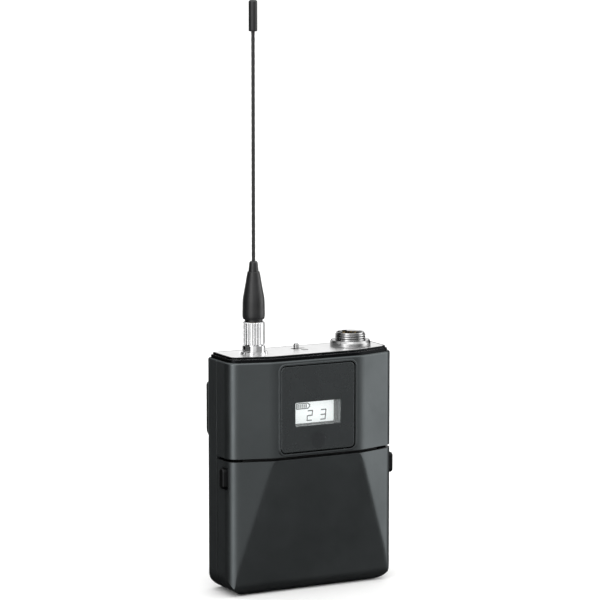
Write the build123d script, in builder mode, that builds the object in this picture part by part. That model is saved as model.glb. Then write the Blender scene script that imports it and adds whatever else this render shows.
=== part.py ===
from build123d import *
from math import atan2, cos, degrees, radians, sin
import os

# Wireless bodypack transmitter: a faceted, pocket-size metal case with a whip antenna and an
# input jack on its top plate, a display in front, a battery door below it and a belt clip behind.
# Millimetres. The display faces -Y, +X is to its right, +Z is up.
# The origin is the centre of the case's base, in the plane that the case stands on.

# ---- driving dimensions ----------------------------------------------------------------------
WIDTH = 66.0
DEPTH = 23.0
CASE_TOP = 84.2  # rim of the two housings
PLATE_TOP = 86.0  # top plate, where the connectors stand
WALL = 1.2
FRONT = -DEPTH / 2
BACK = DEPTH / 2
SIDE = WIDTH / 2
FACET_X = 17.5  # the flat middle of the front ends here
SETBACK = 4.6  # how far the front slopes back at the sides, and at the foot of the door
CORNER_FRONT = 4.8
CORNER_BACK = 2.5
CORNER_BASE = 8.2
CREASE_R = 12.0
FOOT_R = 4.8  # rounding of the base's front edge
HEEL_R = 1.2  # rounding of the base's back edge
RIM_R = 0.7
SPLIT_Z = 49.4  # gap between front housing and battery door
SPLIT_GAP = 1.1
SEAM_Y = 3.0  # front edge of the back housing's side walls
SEAM_FIT = 0.1
DOOR_GAP = 0.6
FIT = 0.05  # assembly clearance between pieces that stay put
INNER_BACK = BACK - WALL
INNER_SIDE = SIDE - WALL

HOUSING_FOOT = SPLIT_Z + SPLIT_GAP / 2
DOOR_TOP = SPLIT_Z - SPLIT_GAP / 2
FACET_SLOPE = SETBACK / (SIDE - FACET_X)

# display panel, on the middle of the front
PANEL_Z = 66.75
PANEL_W = 29.4
PANEL_H = 30.9
PANEL_R = 1.7
PANEL_GAP = 0.35
BEAD = 0.7
BEAD_RISE = 0.3
PANEL_RISE = 0.15
FLANGE_T = 0.65
WINDOW_W = 18.2
WINDOW_H = 8.6
WINDOW_Z = 64.8
LCD_FACE = -6.2
IR_Z = 55.0
IR_R = 3.0

# top frame and plate
FLANGE_INSET = 1.0
FLANGE_TOP = 85.2
LIP_INSET = 1.7
PLATE_INSET = 2.35
PLATE_T = 1.2
LEDGE_INSET = 4.2
PLUG_FOOT = 82.4
PLATE_FOOT = PLATE_TOP - PLATE_T

# antenna and its connector
ANT_X = -19.3
ANT_Y = 0.8
BARREL_R = 3.17
BARREL_TOP = 94.0
HEX_AF = 8.0
NUT_FOOT = 86.7
NUT_HEAD = 88.9
COUPLING_FOOT = 89.2
COUPLING_HEAD = 97.3
COUPLING_R = 4.0
FLUTES = 24
FLUTE_R = 0.4
BOOT_FOOT = 97.4
BOOT_HEAD = 118.8
WHIP_R = 0.65
WHIP_FOOT = 106.0
WHIP_HEAD = 203.6
TIP_FOOT = 199.6
TIP_HEAD = 210.6
TIP_R = 1.55

# input jack
JACK_X = 19.75
JACK_Y = 1.0
JACK_R = 5.5
JACK_ROOT_R = 5.12
JACK_BORE_R = 4.35
JACK_HEAD = 91.0
JACK_NUT_R = 7.35
JACK_NUT_HEAD = 88.2
JACK_FOOT = 72.0
THREAD_PITCH = 0.8
NOTCH_ANGLE = -27.0

# power switch and status lamp
KNOB_X = -1.0
KNOB_Y = 3.4
KNOB_R = 0.95
KNOB_TRAVEL = 2.4
LAMP_X = 0.5
LAMP_Y = -0.3
LAMP_R = 1.3
LAMP_COLLAR = 83.0

# battery compartment
CELL_R = 7.25
CELL_BODY = 49.3
CELL_NUB = 1.2
CELL_Y = 2.15
CELL_Z = (13.0, 28.5)
CONTACT_X = 27.3  # inner face of the contact plates
CONTACT_T = 0.3
TRAY_SIDE = 28.5
TRAY_TOP = 36.6

# battery door: hinge across the foot, latches in the side walls
HINGE_Y = 2.0
HINGE_Z = 1.4
KNUCKLE_R = 1.4
PIN_R = 0.6
PIN_RUN = 0.05
LATCH_Y = (-4.9, -1.6)
LATCH_Z = (39.05, 46.45)
LATCH_RISE = 1.5

# menu buttons, behind the door
BUTTON_X = (-18.0, -6.0, 6.0, 18.0)
BUTTON_Z = 43.3
BUTTON_W = 7.0
BUTTON_H = 4.0
BUTTON_FACE = -7.2
DECK_FACE = -6.4

# boards
BOARD_FACE = -2.6
BOARD_T = 1.6
STAND_X = 21.5
STAND_Z = (54.5, 65.0)

# belt clip
CLIP_Y = 14.2  # centre of the bend at its top
CLIP_Z = 75.0
CLIP_R = 2.7
CLIP_T = 1.0
CLIP_HALF = 30.2
NECK_HALF = 12.0
BAND_FOOT = 52.4
TONGUE_HALF = 13.0
TONGUE_FOOT = 9.0
CLIP_SCREW_X = 7.0
CLIP_SCREW_Z = 66.0

# case screws, driven in from the back
SCREW_X = 28.0
SCREW_Z = (54.5, 79.5)
BOSS_R = 2.0


# ---- shared shapes ---------------------------------------------------------------------------
def plan_outline(inset):
    """Outline of the case from above, moved inwards by inset: sloping cheeks, flat nose."""
    with BuildSketch() as outline:
        with BuildLine():
            Polyline(
                (-SIDE, BACK),
                (-SIDE, FRONT + SETBACK),
                (-FACET_X, FRONT),
                (FACET_X, FRONT),
                (SIDE, FRONT + SETBACK),
                (SIDE, BACK),
                close=True,
            )
        make_face()
        nose = outline.vertices().sort_by(Axis.Y)[0:2]
        fillet(nose, CREASE_R)
        fillet(outline.vertices().filter_by(lambda v: abs(v.X) > SIDE - 1 and v.Y < 0), CORNER_FRONT)
        fillet(outline.vertices().filter_by(lambda v: v.Y > BACK - 1), CORNER_BACK)
        if inset:
            offset(amount=-inset)
    return outline.sketch


def case_form(inset, top):
    """The closed case as one block, with every face but the top moved inwards by inset."""
    with BuildPart() as form:
        with BuildSketch():
            add(plan_outline(inset))
        extrude(amount=top)
        with BuildSketch(Plane.XZ) as front_view:
            with Locations((0, (inset + top) / 2)):
                Rectangle(WIDTH - 2 * inset, top - inset)
            fillet(front_view.vertices().group_by(Axis.Y)[0], CORNER_BASE - inset)
        extrude(amount=DEPTH, both=True, mode=Mode.INTERSECT)
        with BuildSketch(Plane.YZ) as side_view:
            with BuildLine():
                Polyline(
                    (BACK - inset, inset),
                    (BACK - inset, top),
                    (FRONT + inset, top),
                    (FRONT + inset, SPLIT_Z),
                    (FRONT + SETBACK + inset, inset),
                    close=True,
                )
            make_face()
            foot = side_view.vertices().group_by(Axis.Y)[0].sort_by(Axis.X)
            fillet(foot[0], FOOT_R - inset / 2)
            fillet(foot[-1], HEEL_R - inset / 2)
        extrude(amount=WIDTH, both=True, mode=Mode.INTERSECT)
    return form.part


def cheek(x):
    """Y of the upper front at distance x from the middle."""
    return FRONT + max(0.0, abs(x) - FACET_X) * FACET_SLOPE


def door_front(z):
    """Y of the door's sloping middle face at height z."""
    return FRONT + SETBACK * (SPLIT_Z - z) / SPLIT_Z


def block(x, y, z, mode=Mode.ADD):
    """A plain block given by its limits along each axis."""
    with Locations(((x[0] + x[1]) / 2, (y[0] + y[1]) / 2, (z[0] + z[1]) / 2)):
        Box(x[1] - x[0], y[1] - y[0], z[1] - z[0], mode=mode)


def blocks(x, y, z, mode=Mode.ADD):
    """A block and its mirror image on the other side of the case."""
    block(x, y, z, mode)
    block((-x[1], -x[0]), y, z, mode)


def bar_x(y, z, radius, x, mode=Mode.ADD):
    """A round bar along X."""
    with Locations(((x[0] + x[1]) / 2, y, z)):
        Cylinder(radius, x[1] - x[0], rotation=(0, 90, 0), mode=mode)


def bar_y(x, z, radius, y, mode=Mode.ADD):
    """A round bar along Y."""
    with Locations((x, (y[0] + y[1]) / 2, z)):
        Cylinder(radius, y[1] - y[0], rotation=(90, 0, 0), mode=mode)


def bars_y(x, z, radius, y, mode=Mode.ADD):
    """A round bar along Y and its mirror image on the other side of the case."""
    bar_y(x, z, radius, y, mode)
    bar_y(-x, z, radius, y, mode)


def bar_z(x, y, radius, z, mode=Mode.ADD):
    """A round bar along Z."""
    with Locations((x, y, (z[0] + z[1]) / 2)):
        Cylinder(radius, z[1] - z[0], mode=mode)


def save(piece, label):
    """Label a finished piece and write it as its own STEP file."""
    piece.part.label = label
    export_step(piece.part, f"parts/{label}.step")


os.makedirs("parts", exist_ok=True)
outer_form = case_form(0, CASE_TOP)
inner_form = case_form(WALL, CASE_TOP + 1)
ACROSS = (-SIDE - 1, SIDE + 1)
FULL_HEIGHT = (-1, PLATE_TOP)


# ---- back housing ----------------------------------------------------------------------------
KNUCKLES_HOUSING = ((8.0, 13.9), (20.3, 25.0))
KNUCKLE_DOOR = (14.1, 20.1)
RAIL_Y = (HINGE_Y + KNUCKLE_R + 0.25, HINGE_Y + KNUCKLE_R + 1.65)
RAIL_TOP = 2.7
LUG_R = 1.3
LUG_FOOT = 1.0
LATCH_CATCH = (41.0, 44.5)
CATCH_X = 31.35
HEAD_R = 1.8
HEAD_DEPTH = 1.3
SHANK_R = 1.0

with BuildPart() as back_housing:
    add(outer_form)
    add(inner_form, mode=Mode.SUBTRACT)
    block(ACROSS, (FRONT - 1, SEAM_Y), FULL_HEIGHT, Mode.SUBTRACT)
    block(ACROSS, (SEAM_Y - 1, RAIL_Y[0]), (-1, HINGE_Z + 0.2), Mode.SUBTRACT)
    # rail across the foot, and the lugs that it carries for the hinge pins
    block((-26, 26), RAIL_Y, (WALL / 2, RAIL_TOP))
    for span in KNUCKLES_HOUSING:
        blocks(span, (HINGE_Y, RAIL_Y[1]), (LUG_FOOT, RAIL_TOP))
        bar_x(HINGE_Y, HINGE_Z, LUG_R, span)
        bar_x(HINGE_Y, HINGE_Z, LUG_R, (-span[1], -span[0]))
    bar_x(HINGE_Y, HINGE_Z, PIN_R, (7, 26), Mode.SUBTRACT)
    bar_x(HINGE_Y, HINGE_Z, PIN_R, (-26, -7), Mode.SUBTRACT)
    # bosses for the case screws, with sunk heads behind
    for z in SCREW_Z:
        bars_y(SCREW_X, z, BOSS_R, (SEAM_Y, INNER_BACK + 0.2))
        bars_y(SCREW_X, z, SHANK_R + 0.15, (0, BACK + 1), Mode.SUBTRACT)
        bars_y(SCREW_X, z, HEAD_R + 0.15, (BACK - HEAD_DEPTH, BACK + 1), Mode.SUBTRACT)
    # bosses for the belt clip's screws
    bars_y(CLIP_SCREW_X, CLIP_SCREW_Z, BOSS_R, (BACK - 3.2, INNER_BACK + 0.2))
    bars_y(CLIP_SCREW_X, CLIP_SCREW_Z, SHANK_R, (BACK - 3.0, BACK + 1), Mode.SUBTRACT)
    # ledges that the latches hook behind
    blocks((CATCH_X, INNER_SIDE + 0.2), (SEAM_Y, SEAM_Y + 0.8), LATCH_CATCH)
    rim = back_housing.edges().filter_by(lambda e: abs(e.center().Z - CASE_TOP) < 0.01)
    fillet(rim.filter_by(lambda e: abs(e.center().X) > SIDE - 0.9 or e.center().Y > BACK - 0.9), RIM_R)
save(back_housing, "back_housing")


# ---- front housing ---------------------------------------------------------------------------
OPENING_W = PANEL_W + 2 * PANEL_GAP
OPENING_H = PANEL_H + 2 * PANEL_GAP
OPENING_R = PANEL_R + PANEL_GAP
FRONT_SEAM = SEAM_Y - SEAM_FIT

with BuildPart() as front_hollow:
    add(inner_form)
    block(ACROSS, (FRONT, BACK), (HOUSING_FOOT, HOUSING_FOOT + WALL), Mode.SUBTRACT)

with BuildPart() as front_housing:
    add(outer_form)
    add(front_hollow.part, mode=Mode.SUBTRACT)
    for z in SCREW_Z:
        bars_y(SCREW_X, z, BOSS_R, (cheek(SCREW_X) + 1.0, FRONT_SEAM))
        bars_y(SCREW_X, z, SHANK_R, (cheek(SCREW_X) + 3.0, FRONT_SEAM + 1), Mode.SUBTRACT)
    for z in STAND_Z:
        bars_y(STAND_X, z, BOSS_R - 0.2, (cheek(STAND_X) + 0.8, BOARD_FACE))
        bars_y(STAND_X, z, SHANK_R, (cheek(STAND_X) + 3.0, BOARD_FACE + 1), Mode.SUBTRACT)
    block(ACROSS, (FRONT_SEAM, BACK + 1), FULL_HEIGHT, Mode.SUBTRACT)
    block(ACROSS, (FRONT - 1, BACK), (-1, HOUSING_FOOT), Mode.SUBTRACT)
    # raised bead round the display panel
    with BuildSketch(Plane.XZ.offset(-FRONT)):
        with Locations((0, PANEL_Z)):
            RectangleRounded(OPENING_W + 2 * BEAD, OPENING_H + 2 * BEAD, OPENING_R + BEAD)
    extrude(amount=BEAD_RISE)
    fillet(front_housing.faces().sort_by(Axis.Y)[0].outer_wire().edges(), BEAD_RISE * 0.9)
    with BuildSketch(Plane.XZ.offset(-FRONT + 1)):
        with Locations((0, PANEL_Z)):
            RectangleRounded(OPENING_W, OPENING_H, OPENING_R)
    extrude(amount=-WALL - 2, mode=Mode.SUBTRACT)
    rim = front_housing.edges().filter_by(lambda e: abs(e.center().Z - CASE_TOP) < 0.01)
    rim = rim.filter_by(lambda e: e.length > 0.5)
    outside = rim.filter_by(
        lambda e: abs(e.center().X) > SIDE - 0.9 or e.center().Y < cheek(e.center().X) + 0.7
    )
    fillet(outside, RIM_R)
save(front_housing, "front_housing")


# ---- battery door ----------------------------------------------------------------------------
LATCH_PLAY = 0.2
LATCH_PLATE_X = (30.1, 31.3)
LATCH_PLATE_Y = (-4.4, 1.6)
LATCH_ARM_Y = (1.5, 4.6)
HOOK_Y = (4.0, 4.6)
PIN_END = (8.2, 24.8)
LEAN = degrees(atan2(SETBACK, SPLIT_Z))  # of the door's middle face

with BuildPart() as battery_door:
    add(outer_form)
    add(inner_form, mode=Mode.SUBTRACT)
    block(ACROSS, (SEAM_Y - DOOR_GAP, BACK + 1), FULL_HEIGHT, Mode.SUBTRACT)
    block(ACROSS, (FRONT - 1, BACK), (DOOR_TOP, PLATE_TOP), Mode.SUBTRACT)
    # the foot's back edge is rolled round the hinge axis, open where the housing's lugs are
    block(ACROSS, (HINGE_Y, BACK), (-1, HINGE_Z), Mode.SUBTRACT)
    for span in KNUCKLES_HOUSING:
        relief = (span[0] - 0.2, span[1] + 0.2)
        blocks(relief, (HINGE_Y - LUG_R - 0.2, BACK), (-1, RAIL_TOP + 1), Mode.SUBTRACT)
    bar_x(HINGE_Y, HINGE_Z, KNUCKLE_R, KNUCKLE_DOOR)
    bar_x(HINGE_Y, HINGE_Z, KNUCKLE_R, (-KNUCKLE_DOOR[1], -KNUCKLE_DOOR[0]))
    bar_x(HINGE_Y, HINGE_Z, PIN_R + PIN_RUN, (-26, 26), Mode.SUBTRACT)
    # slots for the latches
    blocks(
        (SIDE - 6, SIDE + 1),
        (LATCH_Y[0] - LATCH_PLAY, LATCH_Y[1] + LATCH_PLAY),
        (LATCH_Z[0] - LATCH_PLAY, LATCH_Z[1] + LATCH_PLAY),
        Mode.SUBTRACT,
    )
save(battery_door, "battery_door")

with BuildPart() as door_hinge_pins:
    bar_x(HINGE_Y, HINGE_Z, PIN_R, PIN_END)
    bar_x(HINGE_Y, HINGE_Z, PIN_R, (-PIN_END[1], -PIN_END[0]))
save(door_hinge_pins, "door_hinge_pins")

# foam pad inside the door, which holds the cells down
PAD_Z = 18.0
PAD_SIZE = (28.0, 14.0, 1.2)
pad_plane = Plane(
    origin=(0, door_front(PAD_Z) + WALL + 0.1, PAD_Z),
    x_dir=(1, 0, 0),
    z_dir=(0, cos(radians(LEAN)), sin(radians(LEAN))),
)
with BuildPart() as battery_pad:
    with BuildSketch(pad_plane):
        RectangleRounded(PAD_SIZE[0], PAD_SIZE[1], 2)
    extrude(amount=PAD_SIZE[2])
save(battery_pad, "battery_pad")


def make_latch(side):
    """Press tab in the door's side wall, with the plate behind it and a hook to the housing."""
    plate = sorted((side * LATCH_PLATE_X[0], side * LATCH_PLATE_X[1]))
    tab = sorted((side * (LATCH_PLATE_X[1] - 0.1), side * (SIDE + LATCH_RISE)))
    hook = sorted((side * LATCH_PLATE_X[0], side * (CATCH_X - 0.15)))
    grip = (LATCH_CATCH[0] + 0.4, LATCH_CATCH[1] - 0.4)
    with BuildPart() as latch:
        block(tab, LATCH_Y, LATCH_Z)
        fillet(latch.edges().filter_by(Axis.X), 1.3)
        outer_face = latch.faces().sort_by(Axis.X)[-1 if side > 0 else 0]
        fillet(outer_face.edges(), 0.7)
        block(plate, LATCH_PLATE_Y, (LATCH_Z[0] - 1.2, LATCH_Z[1] + 1.2))
        block(plate, LATCH_ARM_Y, grip)
        block(hook, HOOK_Y, grip)
    return latch


save(make_latch(-1), "latch_left")
save(make_latch(1), "latch_right")


# ---- display ---------------------------------------------------------------------------------
PANEL_FACE = FRONT - PANEL_RISE
FLANGE_FACE = FRONT + WALL + FIT
FLANGE_BACK = FLANGE_FACE + FLANGE_T

with BuildPart() as display_panel:
    with BuildSketch(Plane.XZ.offset(-PANEL_FACE)):
        with Locations((0, PANEL_Z)):
            RectangleRounded(PANEL_W, PANEL_H, PANEL_R)
    extrude(amount=-(FLANGE_BACK - PANEL_FACE))
    fillet(display_panel.faces().sort_by(Axis.Y)[0].edges(), 0.3)
    with BuildSketch(Plane.XZ.offset(-FLANGE_FACE)):
        with Locations((0, PANEL_Z)):
            RectangleRounded(PANEL_W + 2.4, PANEL_H, PANEL_R)
    extrude(amount=-FLANGE_T)
    with BuildSketch(Plane.XZ.offset(-PANEL_FACE + 1)):
        with Locations((0, WINDOW_Z)):
            RectangleRounded(WINDOW_W, WINDOW_H, 0.5)
        with Locations((0, IR_Z)):
            Circle(IR_R)
    extrude(amount=-4, mode=Mode.SUBTRACT)
save(display_panel, "display_panel")

with BuildPart() as lcd_window:
    with BuildSketch(Plane.XZ.offset(-PANEL_FACE - 0.1)):
        with Locations((0, WINDOW_Z)):
            RectangleRounded(WINDOW_W - 2 * FIT, WINDOW_H - 2 * FIT, 0.45)
    extrude(amount=-0.8)
save(lcd_window, "lcd_window")

with BuildPart() as ir_window:
    with BuildSketch(Plane.XZ.offset(-PANEL_FACE)):
        with Locations((0, IR_Z)):
            Circle(IR_R - FIT)
    extrude(amount=-1.6)
save(ir_window, "ir_window")

with BuildPart() as lcd_shroud:
    with BuildSketch(Plane.XZ.offset(-FLANGE_BACK - FIT)):
        with Locations((0, WINDOW_Z)):
            RectangleRounded(WINDOW_W + 2.6, WINDOW_H + 2.6, 1.0)
            RectangleRounded(WINDOW_W, WINDOW_H, 0.5, mode=Mode.SUBTRACT)
    extrude(amount=-(LCD_FACE - FLANGE_BACK - 2 * FIT))
save(lcd_shroud, "lcd_shroud")

LCD_HALF = 11.6
LCD_Z = (58.2, 71.2)
LCD_T = 1.8
with BuildPart() as lcd_module:
    block((-LCD_HALF, LCD_HALF), (LCD_FACE, LCD_FACE + LCD_T), LCD_Z)
    block(
        (1 - LCD_HALF, LCD_HALF - 1),
        (LCD_FACE + LCD_T, BOARD_FACE - FIT),
        (LCD_Z[0] + 0.8, LCD_Z[1] - 0.8),
    )
save(lcd_module, "lcd_module")


# ---- boards in the upper case ----------------------------------------------------------------
BOARD_BACK = BOARD_FACE + BOARD_T
BOARD_HALF = 25.5
BOARD_Z = (51.6, 78.0)
JACK_NOTCH = (13.5, 69.0)  # left edge and foot of the board's corner left out for the jack
SHIELD_X = (-17.0, 9.0)
SHIELD_Z = (54.0, 74.0)
SHIELD_T = 3.0

with BuildPart() as main_board:
    block((-BOARD_HALF, BOARD_HALF), (BOARD_FACE, BOARD_BACK), BOARD_Z)
    block(
        (JACK_NOTCH[0], BOARD_HALF + 1),
        (BOARD_FACE - 1, BOARD_BACK + 1),
        (JACK_NOTCH[1], BOARD_Z[1] + 1),
        Mode.SUBTRACT,
    )
    for z in STAND_Z:
        bars_y(STAND_X, z, SHANK_R + 0.15, (BOARD_FACE - 1, BOARD_BACK + 1), Mode.SUBTRACT)
save(main_board, "main_board")

with BuildPart() as rf_shield:
    block(SHIELD_X, (BOARD_BACK + FIT, BOARD_BACK + SHIELD_T), SHIELD_Z)
    fillet(rf_shield.edges().filter_by(Axis.Y), 0.8)
    fillet(rf_shield.faces().sort_by(Axis.Y)[-1].edges(), 0.4)
save(rf_shield, "rf_shield")


def driven_screw(x, z, head, shank, mirrored=1):
    """Pan-head screw along Y, driven towards -Y, with a cross recess in its head."""
    bar_y(mirrored * x, z, HEAD_R - 0.05, head)
    bar_y(mirrored * x, z, SHANK_R, shank)
    for size in ((1.9, 0.45), (0.45, 1.9)):
        with Locations((mirrored * x, head[1], z)):
            Box(size[0], 1.0, size[1], mode=Mode.SUBTRACT)


with BuildPart() as board_screws:
    for z in STAND_Z:
        for side in (-1, 1):
            head = (BOARD_BACK, BOARD_BACK + 1.1)
            driven_screw(STAND_X, z, head, (cheek(STAND_X) + 4.0, BOARD_BACK), side)
save(board_screws, "board_screws")

with BuildPart() as case_screws:
    for z in SCREW_Z:
        for side in (-1, 1):
            head = (BACK - HEAD_DEPTH, BACK - 0.1)
            driven_screw(SCREW_X, z, head, (-2.0, BACK - HEAD_DEPTH), side)
save(case_screws, "case_screws")


# ---- menu buttons in the battery compartment -------------------------------------------------
DECK_T = 1.2
DECK_Z = (37.2, 49.3)
DECK_HALF = 27.0
CAP_FLANGE = 0.8
FLANGE_Y = (DECK_FACE + DECK_T + FIT, DECK_FACE + DECK_T + 0.6)
SWITCH_FACE = FLANGE_Y[1] + 0.5
KEYPAD_FACE = SWITCH_FACE + 1.6
CAP_PLAY = 0.15

with BuildPart() as button_panel:
    block((-DECK_HALF, DECK_HALF), (DECK_FACE, INNER_BACK - 0.1), DECK_Z)
    fillet(button_panel.faces().sort_by(Axis.Y)[0].edges(), 0.5)
    block(
        (-DECK_HALF + 1, DECK_HALF - 1),
        (DECK_FACE + DECK_T, BACK),
        (DECK_Z[0] + 1, DECK_Z[1] - 1),
        Mode.SUBTRACT,
    )
    for x in BUTTON_X:
        block(
            (x - BUTTON_W / 2 - CAP_PLAY, x + BUTTON_W / 2 + CAP_PLAY),
            (DECK_FACE - 1, DECK_FACE + DECK_T + 1),
            (BUTTON_Z - BUTTON_H / 2 - CAP_PLAY, BUTTON_Z + BUTTON_H / 2 + CAP_PLAY),
            Mode.SUBTRACT,
        )
save(button_panel, "button_panel")


def make_button(x):
    """Menu button: a cap in the panel's hole and a wider flange behind it."""
    half_w = BUTTON_W / 2
    half_h = BUTTON_H / 2
    with BuildPart() as button:
        block(
            (x - half_w, x + half_w),
            (BUTTON_FACE, FLANGE_Y[0] + 0.1),
            (BUTTON_Z - half_h, BUTTON_Z + half_h),
        )
        fillet(button.edges().filter_by(Axis.Y), 0.6)
        fillet(button.faces().sort_by(Axis.Y)[0].edges(), 0.4)
        block(
            (x - half_w - CAP_FLANGE, x + half_w + CAP_FLANGE),
            FLANGE_Y,
            (BUTTON_Z - half_h - CAP_FLANGE, BUTTON_Z + half_h + CAP_FLANGE),
        )
    return button


for x, name in zip(BUTTON_X, ("exit", "down", "up", "enter")):
    save(make_button(x), f"button_{name}")

KEYPAD_HALF = 25.0
KEYPAD_Z = (38.8, 47.8)
TACT_HALF = 2.2
TACT_STEM_R = 1.1
with BuildPart() as keypad_board:
    block((-KEYPAD_HALF, KEYPAD_HALF), (KEYPAD_FACE, KEYPAD_FACE + 1.0), KEYPAD_Z)
save(keypad_board, "keypad_board")

with BuildPart() as tact_switches:
    for x in BUTTON_X:
        block(
            (x - TACT_HALF, x + TACT_HALF),
            (SWITCH_FACE + 0.7, KEYPAD_FACE),
            (BUTTON_Z - TACT_HALF, BUTTON_Z + TACT_HALF),
        )
        bar_y(x, BUTTON_Z, TACT_STEM_R, (SWITCH_FACE, SWITCH_FACE + 0.8))
save(tact_switches, "tact_switches")


# ---- battery compartment ---------------------------------------------------------------------
TRAY_BACK = (9.5, INNER_BACK - FIT)
TRAY_FRONT = -2.0
TRAY_FOOT = 6.0
CONTACT_Y = (-1.6, 6.4)
CONTACT_Z = (9.4, 32.8)
CELL_GAP_Z = (CELL_Z[0] + CELL_Z[1]) / 2

with BuildPart() as battery_tray:
    block((-TRAY_SIDE, TRAY_SIDE), TRAY_BACK, (TRAY_FOOT, TRAY_TOP))
    block((-TRAY_SIDE, TRAY_SIDE), (TRAY_FRONT, TRAY_BACK[1]), (TRAY_TOP - 0.6, TRAY_TOP))
    blocks((CONTACT_X + CONTACT_T, TRAY_SIDE), (TRAY_FRONT, TRAY_BACK[1]), (9.0, TRAY_TOP))
    block((-CONTACT_X, CONTACT_X), (6.6, TRAY_BACK[1]), (CELL_GAP_Z - 0.3, CELL_GAP_Z + 0.3))
save(battery_tray, "battery_tray")

with BuildPart() as battery_contacts:
    block((-CONTACT_X - CONTACT_T, -CONTACT_X), CONTACT_Y, CONTACT_Z)
    for z in CELL_Z:
        block((CONTACT_X, CONTACT_X + CONTACT_T), CONTACT_Y, (z - 4.0, z + 4.3))
save(battery_contacts, "battery_contacts")


def make_cell(z, side):
    """Round cell along X with its nub on one contact plate; side is +1 or -1 for the nub."""
    nub_end = side * CONTACT_X
    shoulder = nub_end - side * CELL_NUB
    foot = shoulder - side * CELL_BODY
    with BuildPart() as cell:
        bar_x(CELL_Y, z, CELL_R, sorted((shoulder, foot)))
        fillet(cell.edges().filter_by(GeomType.CIRCLE), 0.6)
        bar_x(CELL_Y, z, 2.7, sorted((nub_end, shoulder - side * 0.5)))
        bar_x(CELL_Y, z, CELL_R - 1.4, sorted((foot - side * 0.1, foot + side)))
    return cell


save(make_cell(CELL_Z[0], -1), "battery_lower")
save(make_cell(CELL_Z[1], 1), "battery_upper")

SPRING_WIRE = 0.35
SPRING_BASE_R = 4.2
SPRING_TURNS = 3
SPRING_LEN = CONTACT_X - (CELL_BODY + CELL_NUB - CONTACT_X) - 0.2
SPRING_RISE = SPRING_LEN - 2 * SPRING_WIRE - 0.1
SPRING_CONE = degrees(atan2(1.9, SPRING_RISE))

# conical coil, widest at the contact plate, that tapers along +X
with BuildPart() as coil_spring:
    with BuildLine() as coil:
        Helix(
            pitch=SPRING_RISE / SPRING_TURNS,
            height=SPRING_RISE,
            radius=SPRING_BASE_R,
            direction=(1, 0, 0),
            cone_angle=-SPRING_CONE,
        )
    with BuildSketch(Plane(origin=coil.line @ 0, z_dir=coil.line % 0)):
        Circle(SPRING_WIRE)
    sweep()

SPRING_X = CONTACT_X - SPRING_WIRE - 0.05
with BuildPart() as battery_springs:
    with Locations(
        Location((-SPRING_X, CELL_Y, CELL_Z[1])),
        Location((SPRING_X, CELL_Y, CELL_Z[0]), (0, 0, 180)),
    ):
        add(coil_spring.part)
save(battery_springs, "battery_springs")


# ---- top frame and plate ---------------------------------------------------------------------
PLATE_HOLE_FIT = 0.08
SLOT_X = (-3.1, 2.4)
SLOT_W = 2.0

with BuildPart() as top_frame:
    with BuildSketch(Plane.XY.offset(PLUG_FOOT)):
        add(plan_outline(WALL + 0.1))
    extrude(amount=CASE_TOP - PLUG_FOOT)
    with BuildSketch(Plane.XY.offset(CASE_TOP)):
        add(plan_outline(FLANGE_INSET))
    extrude(amount=FLANGE_TOP - CASE_TOP)
    fillet(top_frame.faces().sort_by(Axis.Z)[-1].edges(), 0.25)
    with BuildSketch(Plane.XY.offset(FLANGE_TOP)):
        add(plan_outline(LIP_INSET))
    extrude(amount=PLATE_TOP - FLANGE_TOP)
    fillet(top_frame.faces().sort_by(Axis.Z)[-1].edges(), 0.25)
    with BuildSketch(Plane.XY.offset(PLATE_FOOT)):
        add(plan_outline(PLATE_INSET))
    extrude(amount=PLATE_T + 1, mode=Mode.SUBTRACT)
    with BuildSketch(Plane.XY.offset(PLUG_FOOT - 1)):
        add(plan_outline(LEDGE_INSET))
    extrude(amount=PLATE_TOP - PLUG_FOOT + 2, mode=Mode.SUBTRACT)
save(top_frame, "top_frame")

with BuildPart() as top_plate:
    with BuildSketch(Plane.XY.offset(PLATE_FOOT)):
        add(plan_outline(PLATE_INSET + FIT))
    extrude(amount=PLATE_T)
    fillet(top_plate.faces().sort_by(Axis.Z)[-1].edges(), 0.15)
    bar_z(ANT_X, ANT_Y, BARREL_R + PLATE_HOLE_FIT, (PLATE_FOOT - 1, PLATE_TOP + 1), Mode.SUBTRACT)
    bar_z(JACK_X, JACK_Y, JACK_R + PLATE_HOLE_FIT, (PLATE_FOOT - 1, PLATE_TOP + 1), Mode.SUBTRACT)
    bar_z(LAMP_X, LAMP_Y, LAMP_R + PLATE_HOLE_FIT, (PLATE_FOOT - 1, PLATE_TOP + 1), Mode.SUBTRACT)
    with BuildSketch(Plane.XY.offset(PLATE_FOOT - 1)):
        with Locations(((SLOT_X[0] + SLOT_X[1]) / 2, KNOB_Y)):
            SlotOverall(SLOT_X[1] - SLOT_X[0], SLOT_W)
    extrude(amount=PLATE_T + 2, mode=Mode.SUBTRACT)
save(top_plate, "top_plate")


# ---- power switch and status lamp ------------------------------------------------------------
SLIDER_X = (KNOB_X - 1.3, KNOB_X + 1.3)
SLIDER_Z = (82.0, 83.6)
CHANNEL_Z = (81.8, 84.6)
SWITCH_X = (-5.5, 4.9)
SWITCH_FOOT = 79.0
SWITCH_LEGS = (-3.5, -0.3, 2.9)

with BuildPart() as switch_body:
    block(SWITCH_X, (KNOB_Y - 2.0, KNOB_Y + 2.0), (SWITCH_FOOT, CHANNEL_Z[1]))
    block(
        (SLIDER_X[0] - 0.3, SLIDER_X[1] + KNOB_TRAVEL + 0.3),
        (KNOB_Y - 1.1, KNOB_Y + 1.1),
        (CHANNEL_Z[0], CHANNEL_Z[1] + 1),
        Mode.SUBTRACT,
    )
    for x in SWITCH_LEGS:
        bar_z(x, KNOB_Y, 0.3, (SWITCH_FOOT - 1.8, SWITCH_FOOT + 0.1))
save(switch_body, "switch_body")

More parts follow.
